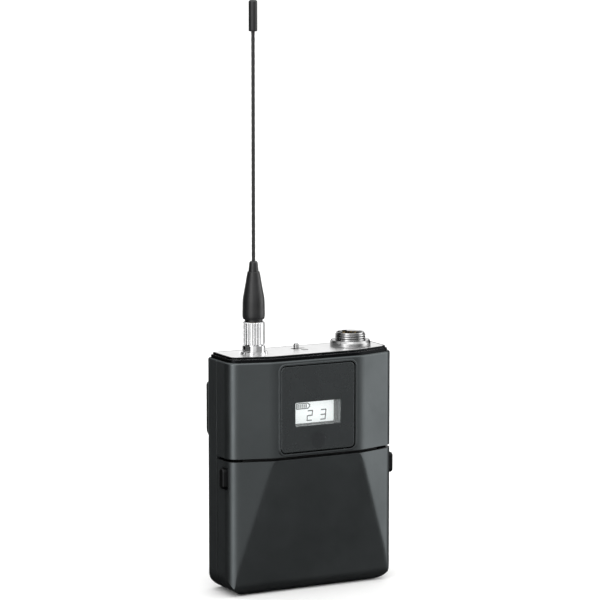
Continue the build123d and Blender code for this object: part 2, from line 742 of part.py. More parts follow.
with BuildPart() as switch_knob:
    block(SLIDER_X, (KNOB_Y - 0.95, KNOB_Y + 0.95), SLIDER_Z)
    bar_z(KNOB_X, KNOB_Y, KNOB_R - 0.2, (SLIDER_Z[1] - 0.1, PLATE_TOP + 0.3))
    bar_z(KNOB_X, KNOB_Y, KNOB_R, (PLATE_TOP + 0.15, PLATE_TOP + 1.9))
    fillet(switch_knob.edges().sort_by(Axis.Z)[-1], 0.6)
save(switch_knob, "switch_knob")

with BuildPart() as status_led:
    bar_z(LAMP_X, LAMP_Y, LAMP_R, (PLATE_FOOT - 0.2, PLATE_TOP + 0.05))
    fillet(status_led.edges().sort_by(Axis.Z)[-1], 0.2)
    bar_z(LAMP_X, LAMP_Y, LAMP_R + 0.4, (LAMP_COLLAR, PLATE_FOOT - 0.1))
    bar_z(LAMP_X, LAMP_Y, LAMP_R + 0.1, (LAMP_COLLAR - 3, LAMP_COLLAR + 0.1))
save(status_led, "status_led")


# ---- antenna connector on the case -----------------------------------------------------------
SMA_FOOT = 79.5
SMA_HEX_FOOT = 83.3
SMA_BORE_R = 2.1
SMA_BORE_FOOT = 82.0
CONTACT_FOOT = 77.0
CONTACT_R = 0.62

with BuildPart() as sma_connector:
    bar_z(ANT_X, ANT_Y, SMA_BORE_R + 0.5, (SMA_FOOT, SMA_HEX_FOOT + 0.1))
    with BuildSketch(Plane.XY.offset(SMA_HEX_FOOT)):
        with Locations((ANT_X, ANT_Y)):
            RegularPolygon(HEX_AF / 2, 6, major_radius=False)
    extrude(amount=PLATE_FOOT - FIT - SMA_HEX_FOOT)
    bar_z(ANT_X, ANT_Y, BARREL_R, (PLATE_FOOT - 0.1, BARREL_TOP))
    chamfer(sma_connector.faces().sort_by(Axis.Z)[-1].edges(), 0.3)
    bar_z(ANT_X, ANT_Y, SMA_BORE_R, (SMA_BORE_FOOT, BARREL_TOP + 1), Mode.SUBTRACT)
    bar_z(ANT_X, ANT_Y, 2 * CONTACT_R, (SMA_FOOT - 1, SMA_BORE_FOOT + 1), Mode.SUBTRACT)
save(sma_connector, "sma_connector")

with BuildPart() as sma_insulator:
    bar_z(ANT_X, ANT_Y, SMA_BORE_R - FIT, (SMA_BORE_FOOT + 0.1, BARREL_TOP - 0.2))
    bar_z(ANT_X, ANT_Y, CONTACT_R + 0.04, (SMA_FOOT, BARREL_TOP + 1), Mode.SUBTRACT)
save(sma_insulator, "sma_insulator")

with BuildPart() as sma_contact:
    bar_z(ANT_X, ANT_Y, CONTACT_R, (CONTACT_FOOT, BARREL_TOP - 0.4))
    bar_z(ANT_X, ANT_Y, CONTACT_R - 0.1, (88.0, BARREL_TOP + 1), Mode.SUBTRACT)
save(sma_contact, "sma_contact")

# lock washer with teeth, and the hexagon nut over it
WASHER_TEETH = 10
with BuildPart() as sma_washer:
    with BuildSketch(Plane.XY.offset(PLATE_TOP)):
        with Locations((ANT_X, ANT_Y)):
            Circle(4.3)
            with PolarLocations(4.5, WASHER_TEETH):
                Rectangle(0.9, 1.1)
            Circle(BARREL_R + PLATE_HOLE_FIT, mode=Mode.SUBTRACT)
    extrude(amount=NUT_FOOT - PLATE_TOP)
save(sma_washer, "sma_washer")

with BuildPart() as sma_nut:
    with BuildSketch(Plane.XY.offset(NUT_FOOT)):
        with Locations((ANT_X, ANT_Y)):
            RegularPolygon(HEX_AF / 2, 6, major_radius=False, rotation=3)
    extrude(amount=NUT_HEAD - NUT_FOOT)
    with BuildSketch(Plane.XY.offset(NUT_FOOT)):
        with Locations((ANT_X, ANT_Y)):
            Circle(HEX_AF / 2 * 1.04)
    extrude(amount=NUT_HEAD - NUT_FOOT, mode=Mode.INTERSECT)
    bar_z(ANT_X, ANT_Y, BARREL_R + 0.02, (NUT_FOOT - 1, NUT_HEAD + 1), Mode.SUBTRACT)
save(sma_nut, "sma_nut")


# ---- antenna ---------------------------------------------------------------------------------
SHOULDER_FOOT = 95.2
SHOULDER_HEAD = 96.6
STEM_R = 2.3
CORE_FLANGE_R = 3.1
CRIMP_R = 1.6
CRIMP_HEAD = 106.0
NECK_R = 3.2
NECK_HEAD = 98.2

with BuildPart() as antenna_nut:
    bar_z(ANT_X, ANT_Y, COUPLING_R, (COUPLING_FOOT, COUPLING_HEAD))
    chamfer(antenna_nut.edges().filter_by(GeomType.CIRCLE), 0.35)
    with BuildSketch(Plane.XY.offset(COUPLING_FOOT - 1)):
        with Locations((ANT_X, ANT_Y)):
            with PolarLocations(COUPLING_R + 0.12, FLUTES):
                Circle(FLUTE_R)
    extrude(amount=COUPLING_HEAD - COUPLING_FOOT + 2, mode=Mode.SUBTRACT)
    bar_z(ANT_X, ANT_Y, BARREL_R + 0.09, (COUPLING_FOOT - 1, SHOULDER_FOOT), Mode.SUBTRACT)
    bar_z(ANT_X, ANT_Y, STEM_R + 0.1, (COUPLING_FOOT, COUPLING_HEAD + 1), Mode.SUBTRACT)
    bar_z(ANT_X, ANT_Y, NECK_R + 0.15, (SHOULDER_HEAD, COUPLING_HEAD + 1), Mode.SUBTRACT)
save(antenna_nut, "antenna_nut")

with BuildPart() as antenna_core:
    bar_z(ANT_X, ANT_Y, 0.45, (90.0, 94.3))
    bar_z(ANT_X, ANT_Y, CORE_FLANGE_R, (BARREL_TOP + 0.1, SHOULDER_FOOT - 0.2))
    bar_z(ANT_X, ANT_Y, STEM_R, (BARREL_TOP + 0.2, NECK_HEAD + 0.2))
    bar_z(ANT_X, ANT_Y, CRIMP_R, (NECK_HEAD, CRIMP_HEAD))
save(antenna_core, "antenna_core")

with BuildPart() as antenna_boot:
    with BuildSketch(Plane.XZ.offset(-ANT_Y)):
        with BuildLine():
            Polyline((ANT_X, BOOT_FOOT), (ANT_X + NECK_R, BOOT_FOOT), (ANT_X + NECK_R, NECK_HEAD))
            Line((ANT_X + NECK_R, NECK_HEAD), (ANT_X + 3.45, NECK_HEAD))
            Spline(
                (ANT_X + 3.45, NECK_HEAD),
                (ANT_X + 3.95, NECK_HEAD + 0.9),
                (ANT_X + 3.98, 101.5),
                (ANT_X + 3.92, 104.5),
                (ANT_X + 3.0, 110.3),
                (ANT_X + 2.05, 114.9),
                (ANT_X + 1.5, BOOT_HEAD - 0.5),
                tangents=((1, 0.2), (-0.1, 1)),
            )
            Polyline(
                (ANT_X + 1.5, BOOT_HEAD - 0.5),
                (ANT_X + 1.2, BOOT_HEAD),
                (ANT_X, BOOT_HEAD),
                (ANT_X, BOOT_FOOT),
            )
        make_face()
    revolve(axis=Axis((ANT_X, ANT_Y, 0), (0, 0, 1)))
    bar_z(ANT_X, ANT_Y, STEM_R, (BOOT_FOOT - 1, NECK_HEAD + 0.2), Mode.SUBTRACT)
    bar_z(ANT_X, ANT_Y, CRIMP_R, (NECK_HEAD, CRIMP_HEAD), Mode.SUBTRACT)
    bar_z(ANT_X, ANT_Y, WHIP_R, (CRIMP_HEAD - 1, BOOT_HEAD + 1), Mode.SUBTRACT)
save(antenna_boot, "antenna_boot")

with BuildPart() as antenna_whip:
    bar_z(ANT_X, ANT_Y, WHIP_R, (WHIP_FOOT, WHIP_HEAD))
save(antenna_whip, "antenna_whip")

with BuildPart() as antenna_tip:
    bar_z(ANT_X, ANT_Y, TIP_R, (TIP_FOOT, TIP_HEAD))
    fillet(antenna_tip.edges().sort_by(Axis.Z)[-1], 0.9)
    fillet(antenna_tip.edges().sort_by(Axis.Z)[0], 0.35)
    bar_z(ANT_X, ANT_Y, WHIP_R, (TIP_FOOT - 1, WHIP_HEAD), Mode.SUBTRACT)
save(antenna_tip, "antenna_tip")


# ---- input jack ------------------------------------------------------------------------------
INSULATOR_TOP = 86.8
JACK_BODY_R = 5.2
JACK_FLANGE_R = 6.2
JACK_FLANGE_FOOT = 83.4
JACK_PIN_R = 0.5
JACK_PIN_Z = (70.6, 89.6)
JACK_PIN_CIRCLE = 2.2
CREST = 0.4

with BuildPart() as jack_shell:
    bar_z(JACK_X, JACK_Y, JACK_BODY_R, (JACK_FOOT, JACK_FLANGE_FOOT + 0.5))
    bar_z(JACK_X, JACK_Y, JACK_FLANGE_R, (JACK_FLANGE_FOOT, PLATE_FOOT - FIT))
    bar_z(JACK_X, JACK_Y, JACK_ROOT_R, (PLATE_FOOT - 0.2, JACK_HEAD))
    bar_z(JACK_X, JACK_Y, JACK_R, (PLATE_FOOT - 0.1, JACK_NUT_HEAD + 0.1))
    # thread crests above the flange nut, as separate rings
    crest = JACK_NUT_HEAD + 0.1
    while crest < JACK_HEAD - CREST:
        bar_z(JACK_X, JACK_Y, JACK_R, (crest, crest + CREST))
        crest = crest + THREAD_PITCH
    bar_z(JACK_X, JACK_Y, JACK_BORE_R, (JACK_FOOT - 1, JACK_HEAD + 1), Mode.SUBTRACT)
    rim = jack_shell.edges().group_by(Axis.Z)[-1].filter_by(GeomType.CIRCLE)
    chamfer(rim.sort_by(SortBy.LENGTH)[0], 0.35)
    # keyway in the bore
    block(
        (JACK_X - 0.9, JACK_X + 0.9),
        (JACK_Y + JACK_BORE_R - 0.5, JACK_Y + JACK_BORE_R + 0.35),
        (INSULATOR_TOP, JACK_HEAD + 1),
        Mode.SUBTRACT,
    )
save(jack_shell, "jack_shell")

with BuildPart() as jack_nut:
    bar_z(JACK_X, JACK_Y, JACK_NUT_R, (PLATE_TOP, JACK_NUT_HEAD))
    chamfer(jack_nut.faces().sort_by(Axis.Z)[-1].edges(), 0.8, 0.45)
    fillet(jack_nut.edges().sort_by(Axis.Z)[0], 0.3)
    bar_z(JACK_X, JACK_Y, JACK_R + 0.02, (PLATE_TOP - 1, JACK_NUT_HEAD + 1), Mode.SUBTRACT)
    # two spanner notches
    with BuildSketch(Plane.XY.offset(PLATE_TOP + 1.0)):
        with Locations((JACK_X, JACK_Y)):
            with PolarLocations(JACK_NUT_R, 2, start_angle=NOTCH_ANGLE):
                Rectangle(1.8, 1.5)
    extrude(amount=JACK_NUT_HEAD, mode=Mode.SUBTRACT)
save(jack_nut, "jack_nut")

with BuildPart() as jack_insulator:
    bar_z(JACK_X, JACK_Y, JACK_BORE_R - 0.05, (JACK_FOOT, INSULATOR_TOP))
    with Locations((JACK_X, JACK_Y, INSULATOR_TOP)):
        with PolarLocations(JACK_PIN_CIRCLE, 4, start_angle=45):
            Cylinder(JACK_PIN_R, 40, mode=Mode.SUBTRACT)
save(jack_insulator, "jack_insulator")

with BuildPart() as jack_pins:
    with Locations((JACK_X, JACK_Y, (JACK_PIN_Z[0] + JACK_PIN_Z[1]) / 2)):
        with PolarLocations(JACK_PIN_CIRCLE, 4, start_angle=45):
            Cylinder(JACK_PIN_R, JACK_PIN_Z[1] - JACK_PIN_Z[0])
    chamfer(jack_pins.faces().filter_by(Axis.Z).group_by(Axis.Z)[-1].edges(), 0.2)
save(jack_pins, "jack_pins")


# ---- belt clip -------------------------------------------------------------------------------
RING_END = 140
ROOT_END = 160
CURL_R = (0.7, 1.6)
BLADE_MID = CLIP_Y + CLIP_R - CLIP_T / 2
ROOT_FOOT = 58.0
CLIP_HEAD_R = 2.2


def ring_sector(inner, outer, start, end):
    """Sector of a ring about the clip's bend, with Y and Z as the sketch's own two axes."""
    centre = (CLIP_Y, CLIP_Z)
    with BuildSketch() as sector:
        with BuildLine():
            far = CenterArc(centre, outer, start, end - start)
            near = CenterArc(centre, inner, start, end - start)
            Line(far @ 0, near @ 0)
            Line(far @ 1, near @ 1)
        make_face()
    return sector.sketch


def at_band_end(vertex):
    """Whether a corner of the blade's outline is at one end of its wide band."""
    return abs(vertex.X) > CLIP_HALF - 1


def at_tongue(vertex):
    """Whether a corner of the blade's outline is on one side of its tongue."""
    return abs(abs(vertex.X) - TONGUE_HALF) < 0.01


with BuildPart() as belt_clip:
    with BuildSketch(Plane.YZ):
        with BuildLine():
            FilletPolyline(
                (BLADE_MID, CLIP_Z + 0.2),
                (BLADE_MID, 24.0),
                (13.1, 15.5),
                (14.6, 10.5),
                radius=3.0,
            )
        trace(line_width=CLIP_T)
        add(ring_sector(CLIP_R - CLIP_T, CLIP_R, 0, RING_END))
    extrude(amount=CLIP_HALF, both=True)
    with BuildSketch(Plane.XZ) as blade:
        with BuildLine():
            Polyline(
                (-NECK_HALF, CLIP_Z + 4),
                (-NECK_HALF, CLIP_Z - 0.5),
                (-CLIP_HALF, CLIP_Z - 0.5),
                (-CLIP_HALF, BAND_FOOT),
                (-TONGUE_HALF, BAND_FOOT),
                (-TONGUE_HALF, TONGUE_FOOT),
                (TONGUE_HALF, TONGUE_FOOT),
                (TONGUE_HALF, BAND_FOOT),
                (CLIP_HALF, BAND_FOOT),
                (CLIP_HALF, CLIP_Z - 0.5),
                (NECK_HALF, CLIP_Z - 0.5),
                (NECK_HALF, CLIP_Z + 4),
                close=True,
            )
        make_face()
        fillet(blade.vertices().filter_by(at_band_end).filter_by(lambda v: v.Y < BAND_FOOT + 1), 5.0)
        fillet(blade.vertices().filter_by(at_band_end).filter_by(lambda v: v.Y > BAND_FOOT + 1), 1.5)
        fillet(blade.vertices().filter_by(at_tongue).filter_by(lambda v: v.Y < TONGUE_FOOT + 1), 6.0)
        fillet(blade.vertices().filter_by(at_tongue).filter_by(lambda v: v.Y > BAND_FOOT - 1), 3.0)
    extrude(amount=-30, mode=Mode.INTERSECT)
save(belt_clip, "belt_clip")

with BuildPart() as clip_root:
    with BuildSketch(Plane.YZ):
        add(ring_sector(CURL_R[0], CURL_R[1], -10, 180))
        add(ring_sector(CURL_R[0], CLIP_R, ROOT_END, 180))
        with Locations((CLIP_Y - CLIP_R + CLIP_T / 2, (ROOT_FOOT + CLIP_Z) / 2)):
            Rectangle(CLIP_T, CLIP_Z - ROOT_FOOT)
    extrude(amount=NECK_HALF - 0.3, both=True)
    fillet(clip_root.edges().filter_by(Axis.Y).group_by(Axis.Z)[0], 3.0)
    bars_y(CLIP_SCREW_X, CLIP_SCREW_Z, SHANK_R + 0.1, (BACK - 1, BACK + 3), Mode.SUBTRACT)
save(clip_root, "clip_root")

with BuildPart() as clip_screws:
    for side in (-1, 1):
        bar_y(side * CLIP_SCREW_X, CLIP_SCREW_Z, CLIP_HEAD_R, (BACK + CLIP_T, BACK + CLIP_T + 0.8))
        bar_y(side * CLIP_SCREW_X, CLIP_SCREW_Z, SHANK_R, (BACK - 2.8, BACK + CLIP_T + 0.1))
    fillet(clip_screws.faces().filter_by(Axis.Y).group_by(Axis.Y)[-1].edges(), 0.3)
    for side in (-1, 1):
        for size in ((CLIP_HEAD_R, 0.45), (0.45, CLIP_HEAD_R)):
            with Locations((side * CLIP_SCREW_X, BACK + CLIP_T + 0.8, CLIP_SCREW_Z)):
                Box(size[0], 0.8, size[1], mode=Mode.SUBTRACT)
save(clip_screws, "clip_screws")
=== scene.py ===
import bpy
import bmesh
from math import cos, pi, radians, sin
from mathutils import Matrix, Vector


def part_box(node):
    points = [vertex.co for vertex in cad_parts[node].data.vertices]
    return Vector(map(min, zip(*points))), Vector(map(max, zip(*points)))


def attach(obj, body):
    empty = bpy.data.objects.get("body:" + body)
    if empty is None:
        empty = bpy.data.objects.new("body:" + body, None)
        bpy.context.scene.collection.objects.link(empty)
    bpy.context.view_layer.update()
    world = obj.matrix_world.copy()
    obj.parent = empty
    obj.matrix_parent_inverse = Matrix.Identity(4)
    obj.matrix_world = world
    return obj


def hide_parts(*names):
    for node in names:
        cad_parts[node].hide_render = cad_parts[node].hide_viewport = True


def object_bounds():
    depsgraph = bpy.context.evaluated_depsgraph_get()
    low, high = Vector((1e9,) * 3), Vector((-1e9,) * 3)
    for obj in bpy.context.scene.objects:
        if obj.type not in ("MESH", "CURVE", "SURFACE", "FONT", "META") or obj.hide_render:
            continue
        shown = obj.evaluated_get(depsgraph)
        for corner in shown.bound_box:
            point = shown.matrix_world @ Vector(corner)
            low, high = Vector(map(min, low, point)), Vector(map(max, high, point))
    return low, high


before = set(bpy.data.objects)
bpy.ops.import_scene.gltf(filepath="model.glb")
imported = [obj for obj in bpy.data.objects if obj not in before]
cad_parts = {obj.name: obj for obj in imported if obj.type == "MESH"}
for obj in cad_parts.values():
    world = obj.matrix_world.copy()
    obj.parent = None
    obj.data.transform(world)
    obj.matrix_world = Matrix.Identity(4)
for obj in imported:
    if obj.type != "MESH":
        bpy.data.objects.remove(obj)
cad_low, cad_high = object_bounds()

MM = 0.001

# ---- camera ----------------------------------------------------------------------------------
CAMERA_AZIMUTH = radians(27.6)  # to the object's left
CAMERA_DISTANCE = 1.000
CAMERA_HEIGHT = 0.2410
CAMERA_OFFSET = -0.00107
CAMERA_PITCH = radians(7.81)
CAMERA_LENS = 169.9
SENSOR = 36.0

# ---- finishes: base colour (linear), roughness ------------------------------------------------
CHARCOAL = (0.070, 0.077, 0.079)
PANEL_DARK = (0.066, 0.072, 0.074)
WORN = (0.17, 0.175, 0.178)
JET = (0.006, 0.0065, 0.007)


class Graph:
    """One material's node tree, with a short call for each node that the finishes share."""

    def __init__(self, name):
        self.material = bpy.data.materials.new(name)
        self.material.use_nodes = True
        self.tree = self.material.node_tree
        self.shader = self.tree.nodes["Principled BSDF"]
        self.coords = self.tree.nodes.new("ShaderNodeTexCoord").outputs["Object"]

    def give(self, socket, value):
        if isinstance(value, bpy.types.NodeSocket):
            self.tree.links.new(value, socket)
        elif socket.type == "RGBA":
            socket.default_value = (*value, 1.0)
        else:
            socket.default_value = value

    def put(self, kind, inputs, **settings):
        node = self.tree.nodes.new("ShaderNode" + kind)
        for key, value in settings.items():
            setattr(node, key, value)
        for key, value in inputs.items():
            self.give(node.inputs[key], value)
        return node

    def set(self, **values):
        for key, value in values.items():
            self.give(self.shader.inputs[key.replace("_", " ")], value)

    def stretched(self, scale, turn=(0, 0, 0)):
        node = self.put("Mapping", {"Vector": self.coords, "Scale": scale, "Rotation": turn})
        return node.outputs["Vector"]

    def noise(self, scale, detail=2.0, rough=0.5, coords=None):
        inputs = {"Vector": coords or self.coords, "Scale": scale, "Detail": detail, "Roughness": rough}
        return self.put("TexNoise", inputs).outputs["Fac"]

    def cells(self, scale):
        return self.put("TexVoronoi", {"Vector": self.coords, "Scale": scale}).outputs["Distance"]

    def remap(self, value, low, high, out_low=0.0, out_high=1.0):
        inputs = {"Value": value, "From Min": low, "From Max": high, "To Min": out_low, "To Max": out_high}
        return self.put("MapRange", inputs).outputs["Result"]

    def math(self, operation, a, b=0.0):
        node = self.put("Math", {0: a, 1: b}, operation=operation)
        node.use_clamp = operation == "ADD"
        return node.outputs[0]

    def mix(self, factor, a, b):
        node = self.put("Mix", {}, data_type="RGBA")
        sockets = {s.identifier: s for s in node.inputs}
        self.give(sockets["Factor_Float"], factor)
        self.give(sockets["A_Color"], a)
        self.give(sockets["B_Color"], b)
        return next(s for s in node.outputs if s.identifier == "Result_Color")

    def soft_edges(self, radius):
        return self.put("Bevel", {"Radius": radius}, samples=6).outputs["Normal"]

    def crease_radius(self, elsewhere):
        """Edge rounding that is wide on the door's folded front and narrow on the rest of the case."""
        axes = self.put("SeparateXYZ", {"Vector": self.coords})
        below = self.remap(axes.outputs["Z"], 47.6 * MM, 46.2 * MM)
        inboard = self.remap(self.math("ABSOLUTE", axes.outputs["X"]), 31.0 * MM, 29.5 * MM)
        front = self.math("MULTIPLY", below, inboard)
        return self.remap(front, 0.0, 1.0, elsewhere, 2.2 * MM)

    def crevices(self, reach):
        """0 deep in a groove and 1 on open ground, from ambient occlusion; the metals paint shade into
        grooves with it.
        """
        node = self.put("AmbientOcclusion", {"Distance": reach}, samples=6, only_local=True)
        return self.remap(node.outputs["AO"], 0.40, 0.95)

    def edge_mask(self, radius, low=0.80, high=0.97):
        """1 near a sharp edge and 0 on flat ground."""
        flat = self.put("NewGeometry", {}).outputs["Normal"]
        rounded = self.soft_edges(radius)
        dot = self.put("VectorMath", {0: flat, 1: rounded}, operation="DOT_PRODUCT").outputs["Value"]
        return self.remap(dot, high, low)

    def bump(self, height, strength, distance, normal=None):
        inputs = {"Height": height, "Strength": strength, "Distance": distance}
        if normal is not None:
            inputs["Normal"] = normal
        return self.put("Bump", inputs).outputs["Normal"]


def painted(name, colour, wear_and_highlight_colour, rough, peel, edge, rim=0.45, wear_and_highlight_radius=0.35 * MM,
            wear_and_highlight_share=(0.52, 0.74), creases=False):
    """Satin metallic paint: flakes, orange peel, faint handling marks, and lightened edges: rubbed wear,
    and on the black frame a painted highlight.
    """
    g = Graph(name)
    cloud = g.noise(45.0, 3.0, 0.6)
    flakes = g.cells(9000.0)
    # edges lighten towards the edge colour: rubbed wear, and on the black frame a painted highlight along
    # its steps
    wear_and_highlight = g.math("MULTIPLY", g.edge_mask(wear_and_highlight_radius), g.remap(g.noise(900.0, 4.0, 0.7), *wear_and_highlight_share))
    lighter = tuple(1.12 * c for c in colour)
    body = g.mix(g.remap(cloud, 0.3, 0.7), colour, lighter)
    sparkle = g.mix(g.remap(flakes, 0.0, 0.30, 0.55, 0.0), body, tuple(1.8 * c for c in colour))
    g.set(Base_Color=g.mix(g.math("MULTIPLY", wear_and_highlight, 0.7), sparkle, wear_and_highlight_colour))
    smudge = g.remap(g.noise(70.0, 5.0, 0.65), 0.35, 0.70, rough - 0.04, rough + 0.05)
    g.set(Roughness=g.math("ADD", smudge, g.remap(wear_and_highlight, 0.0, 1.0, 0.0, 0.12)))
    g.set(Metallic=0.88, Specular_Tint=(rim, rim, rim))
    peel_height = g.math("ADD", g.math("MULTIPLY", g.noise(1500.0, 2.0), 0.7),
                         g.math("MULTIPLY", g.noise(6500.0, 1.0), 0.3))
    rounded = g.soft_edges(g.crease_radius(edge) if creases else edge)
    g.set(Normal=g.bump(peel_height, peel, 0.02 * MM, rounded))
    return g


def moulded(name, colour, rough, grain_scale=2600.0, grain=0.35, variation=1.5, edge=0.2 * MM, ior=1.46):
    """Moulded plastic or rubber: fine grain, uneven sheen, and a little dust in the pores."""
    g = Graph(name)
    cloud = g.noise(120.0, 3.0, 0.6)
    pores = g.noise(grain_scale, 3.0, 0.6)
    dusty = tuple(min(1.0, variation * c + 0.002) for c in colour)
    g.set(Base_Color=g.mix(g.remap(cloud, 0.35, 0.75), colour, dusty))
    g.set(Roughness=g.remap(g.noise(300.0, 4.0, 0.6), 0.3, 0.7, rough - 0.05, rough + 0.06), IOR=ior)
    g.set(Normal=g.bump(pores, grain, 0.03 * MM, g.soft_edges(edge)))
    return g


def metal(name, colour, rough, lay, scratch, tarnish=0.85, edge=0.12 * MM, groove_shade_reach=0.0):
    """Plated or machined metal: directional tool marks, cloudy tarnish, and painted shade in its grooves.
    """
    g = Graph(name)
    marks = g.noise(2500.0, 3.0, 0.6, g.stretched(lay))
    cloud = g.noise(260.0, 4.0, 0.65)
    dull = tuple(tarnish * c for c in colour)
    clean = g.mix(g.remap(cloud, 0.42, 0.68), colour, dull)
    # painted shade: in grooves and hollows the base colour darkens to 6 % of the metal's own
    groove_shade = tuple(0.06 * c for c in colour)
    g.set(Base_Color=g.mix(g.crevices(groove_shade_reach), groove_shade, clean) if groove_shade_reach else clean)
    uneven = g.math("MULTIPLY", cloud, marks)
    g.set(Roughness=g.remap(uneven, 0.12, 0.40, max(0.03, rough - 0.05), rough + 0.07))
    g.set(Metallic=1.0)
    g.set(Normal=g.bump(marks, scratch, 0.012 * MM, g.soft_edges(edge)))
    return g


def clear_plastic():
    """A hard-coated clear window with faint smears."""
    g = Graph("clear_window")
    g.set(Base_Color=(0.9, 0.95, 0.95), IOR=1.49)
    smear = g.noise(400.0, 4.0, 0.6)
    g.set(Roughness=g.remap(smear, 0.3, 0.7, 0.02, 0.07))
    g.set(Alpha=0.07)
    return g


def display_glass():
    """A reflective liquid-crystal cell: near white, with a faint pixel grain and a weak painted glow."""
    g = Graph("lcd_glass")
    grain = g.noise(5200.0, 1.0)
    paper = g.mix(g.remap(g.noise(90.0, 2.0), 0.3, 0.7), (0.80, 0.83, 0.82), (0.88, 0.90, 0.89))
    g.set(Base_Color=g.mix(g.remap(grain, 0.4, 0.7, 0.0, 0.25), paper, (0.72, 0.76, 0.75)))
    g.set(Roughness=g.remap(g.noise(200.0, 3.0), 0.3, 0.7, 0.22, 0.34))
    # painted light: a weak emission makes the cell glow, though it is no lamp
    g.set(Emission_Color=(0.86, 0.92, 0.92), Emission_Strength=0.45)
    return g


def circuit_board():
    """Green solder mask over copper traces."""
    g = Graph("board_green")
    pattern = {"Vector": g.coords, "Scale": 160.0, "Mortar Size": 0.06}
    pattern.update({"Color1": (0, 0, 0), "Color2": (0, 0, 0), "Mortar": (1, 1, 1)})
    traces = g.put("TexBrick", pattern).outputs["Color"]
    cloud = g.noise(150.0, 3.0)
    mask = g.mix(g.remap(cloud, 0.3, 0.7), (0.008, 0.060, 0.022), (0.012, 0.085, 0.030))
    g.set(Base_Color=g.mix(traces, mask, (0.020, 0.140, 0.045)))
    g.set(Roughness=g.remap(cloud, 0.3, 0.7, 0.22, 0.34))
    g.set(Normal=g.bump(traces, 0.4, 0.03 * MM))
    return g


def foam():
    g = Graph("pad_foam")
    cells = g.cells(2600.0)
    g.set(Base_Color=g.mix(g.remap(cells, 0.0, 0.6), (0.004, 0.004, 0.004), (0.030, 0.030, 0.031)))
    g.set(Roughness=g.remap(g.noise(500.0, 3.0), 0.3, 0.7, 0.82, 0.95))
    g.set(Normal=g.bump(cells, 0.8, 0.15 * MM))
    return g


def cell_wrap():
    """Plain shrink sleeve on a battery: dark in the middle, with a pale band near each grey end."""
    g = Graph("cell_wrap")
    along = g.put("SeparateXYZ", {"Vector": g.coords}).outputs["X"]
    fold = g.math("ABSOLUTE", along)
    band = g.remap(g.math("ABSOLUTE", g.math("SUBTRACT", fold, 0.0165)), 0.0006, 0.0001)
    cloud = g.noise(220.0, 3.0)
    dark = g.mix(g.remap(cloud, 0.3, 0.7), (0.030, 0.036, 0.046), (0.042, 0.050, 0.062))
    ends = g.mix(g.remap(fold, 0.0166, 0.0170), dark, (0.30, 0.33, 0.36))
    g.set(Base_Color=g.mix(band, ends, (0.62, 0.63, 0.64)))
    g.set(Roughness=g.remap(cloud, 0.3, 0.7, 0.20, 0.32))
    g.set(Normal=g.bump(g.noise(900.0, 2.0), 0.15, 0.03 * MM, g.soft_edges(0.1 * MM)))
    return g


